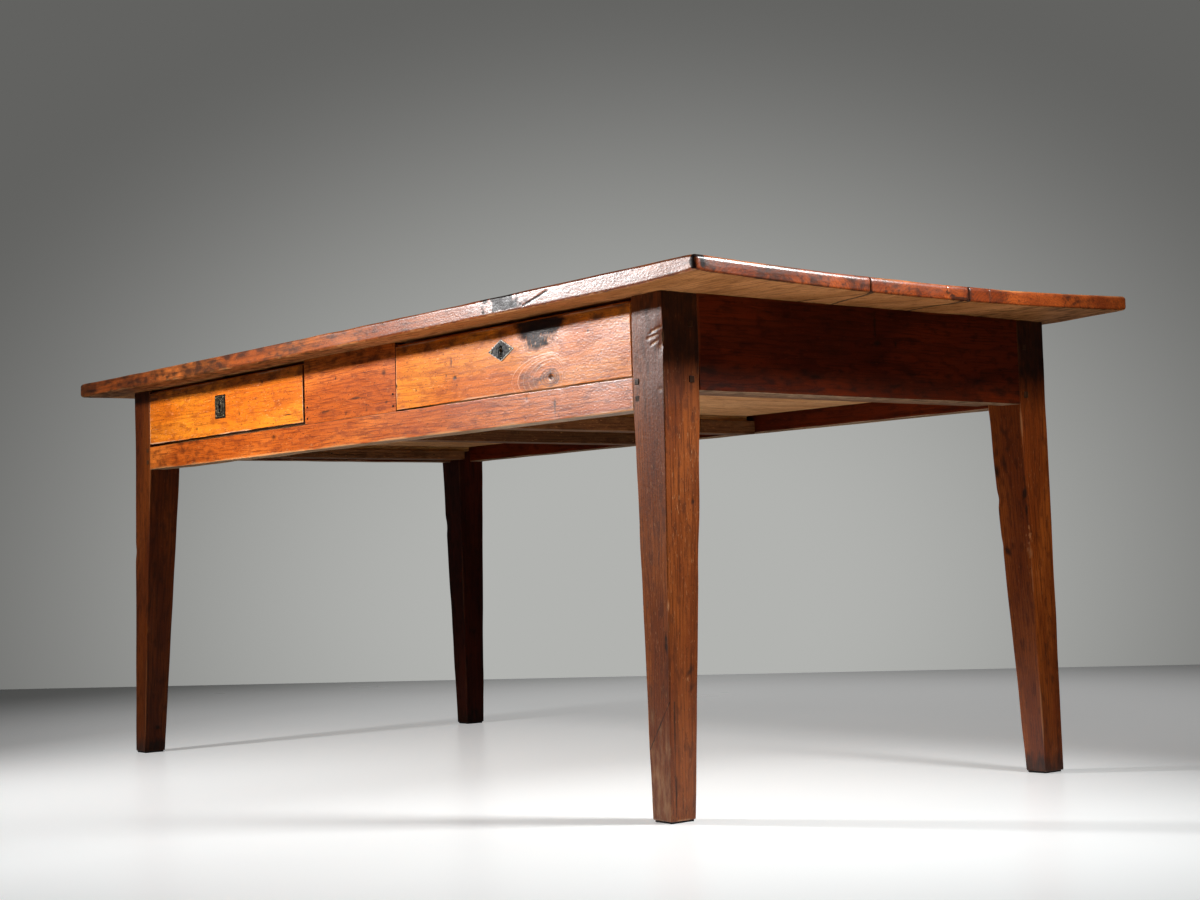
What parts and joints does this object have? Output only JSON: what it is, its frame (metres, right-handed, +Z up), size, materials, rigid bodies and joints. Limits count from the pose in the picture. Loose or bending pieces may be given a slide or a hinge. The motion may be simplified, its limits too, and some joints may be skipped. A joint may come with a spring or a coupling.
{
  "type": "farmhouse dining table",
  "caption": "Long farmhouse dining table with square tapered legs, a plank top on pegged rails, and dovetailed lockable drawers in one long side.",
  "frame": {"origin": "on the floor under the centre of the top's outline", "axes": "+X along the length to the right-hand end seen from the drawers, +Y from the drawer side to the back, +Z up"},
  "size_m": [1.963, 0.923, 0.765],
  "materials": {
    "top_cherry": "old waxed cherry, satin, worn at the edges",
    "frame_cherry": "old waxed cherry, dark patina",
    "drawer_front_cherry": "waxed golden cherry with fine dark flecks",
    "drawer_box_wood": "bare planed poplar, dusty",
    "runner_wood": "bare rubbed oak",
    "peg_oak": "riven oak, darkened",
    "aged_iron": "forged iron, grey, rubbed bright at the edges",
    "blackened_iron": "blackened iron plate",
    "black_felt": "pressed felt"
  },
  "bodies": {
    "frame": {"centre_panel": "frame_cherry", "centre_panel_nails": "aged_iron", "frame_pegs": "peg_oak", "front_left_foot_pad": "black_felt", "front_left_leg": "frame_cherry", "front_lower_rail": "frame_cherry", "front_right_foot_pad": "black_felt", "front_right_leg": "frame_cherry", "left_drawer_stop": "runner_wood", "left_end_rail": "frame_cherry", "left_inner_guide": "runner_wood", "left_inner_runner": "runner_wood", "left_outer_guide": "runner_wood", "left_outer_runner": "runner_wood", "rear_left_foot_pad": "black_felt", "rear_left_leg": "frame_cherry", "rear_rail": "frame_cherry", "rear_right_foot_pad": "black_felt", "rear_right_leg": "frame_cherry", "right_drawer_stop": "runner_wood", "right_end_rail": "frame_cherry", "right_inner_guide": "runner_wood", "right_inner_runner": "runner_wood", "right_outer_guide": "runner_wood", "right_outer_runner": "runner_wood", "runner_nails": "aged_iron", "top_edge_dowels": "peg_oak", "top_front_board": "top_cherry", "top_middle_board": "top_cherry", "top_pegs": "peg_oak", "top_rear_board": "top_cherry"},
    "left_drawer": {"left_drawer_back": "drawer_box_wood", "left_drawer_bottom_left_board": "drawer_box_wood", "left_drawer_bottom_middle_board": "drawer_box_wood", "left_drawer_bottom_nails": "aged_iron", "left_drawer_bottom_right_board": "drawer_box_wood", "left_drawer_escutcheon": "blackened_iron", "left_drawer_escutcheon_nails": "aged_iron", "left_drawer_front": "drawer_front_cherry", "left_drawer_left_side": "drawer_box_wood", "left_drawer_lock_case": "aged_iron", "left_drawer_lock_nails": "aged_iron", "left_drawer_right_side": "drawer_box_wood"},
    "right_drawer": {"right_drawer_back": "drawer_box_wood", "right_drawer_bottom_left_board": "drawer_box_wood", "right_drawer_bottom_middle_board": "drawer_box_wood", "right_drawer_bottom_nails": "aged_iron", "right_drawer_bottom_right_board": "drawer_box_wood", "right_drawer_escutcheon": "aged_iron", "right_drawer_escutcheon_nails": "aged_iron", "right_drawer_front": "drawer_front_cherry", "right_drawer_left_side": "drawer_box_wood", "right_drawer_lock_case": "aged_iron", "right_drawer_lock_nails": "aged_iron", "right_drawer_right_side": "drawer_box_wood"},
    "left_lock_bolt": {"left_drawer_lock_bolt": "aged_iron"},
    "right_lock_bolt": {"right_drawer_lock_bolt": "aged_iron"}
  },
  "joints": [
    {"name": "left_drawer_slide", "type": "slide", "parent": "frame", "child": "left_drawer", "axis": [0, -1, 0], "range_m": [0, 0.55]},
    {"name": "right_drawer_slide", "type": "slide", "parent": "frame", "child": "right_drawer", "axis": [0, -1, 0], "range_m": [0, 0.55]},
    {"name": "left_lock_throw", "type": "slide", "parent": "left_drawer", "child": "left_lock_bolt", "axis": [0, 0, 1], "range_m": [0, 0.012]},
    {"name": "right_lock_throw", "type": "slide", "parent": "right_drawer", "child": "right_lock_bolt", "axis": [0, 0, 1], "range_m": [0, 0.012]}
  ]
}
